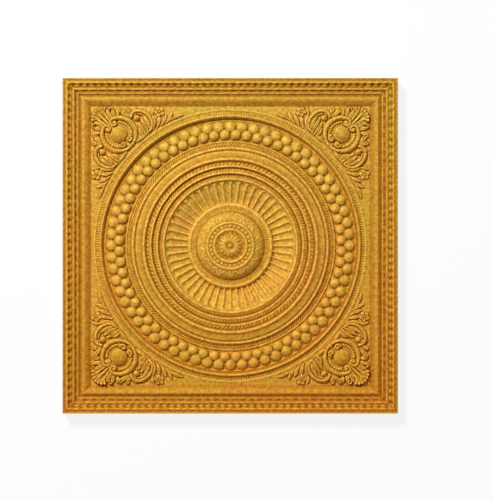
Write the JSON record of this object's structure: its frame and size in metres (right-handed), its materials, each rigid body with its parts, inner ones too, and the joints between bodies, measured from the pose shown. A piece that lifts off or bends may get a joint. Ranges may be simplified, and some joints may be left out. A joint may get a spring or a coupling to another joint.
{
  "type": "moulded fibre ceiling panel",
  "caption": "Square gold-painted moulded fibre ceiling panel with a moulded frame, a round beaded and fluted medallion with a domed boss, and scroll ornaments in the corners.",
  "frame": {"origin": "centre of the plane that the edge skirt stands on", "axes": "+Z out of the decorated face, X and Y along the straight sides"},
  "size_m": [0.6, 0.6, 0.036],
  "materials": {
    "gold_paint": "satin gold paint with an orange-brown glaze in the hollows, over moulded glass-fibre plastic"
  },
  "bodies": {
    "root": {"ceiling_panel": "gold_paint"}
  },
  "joints": []
}
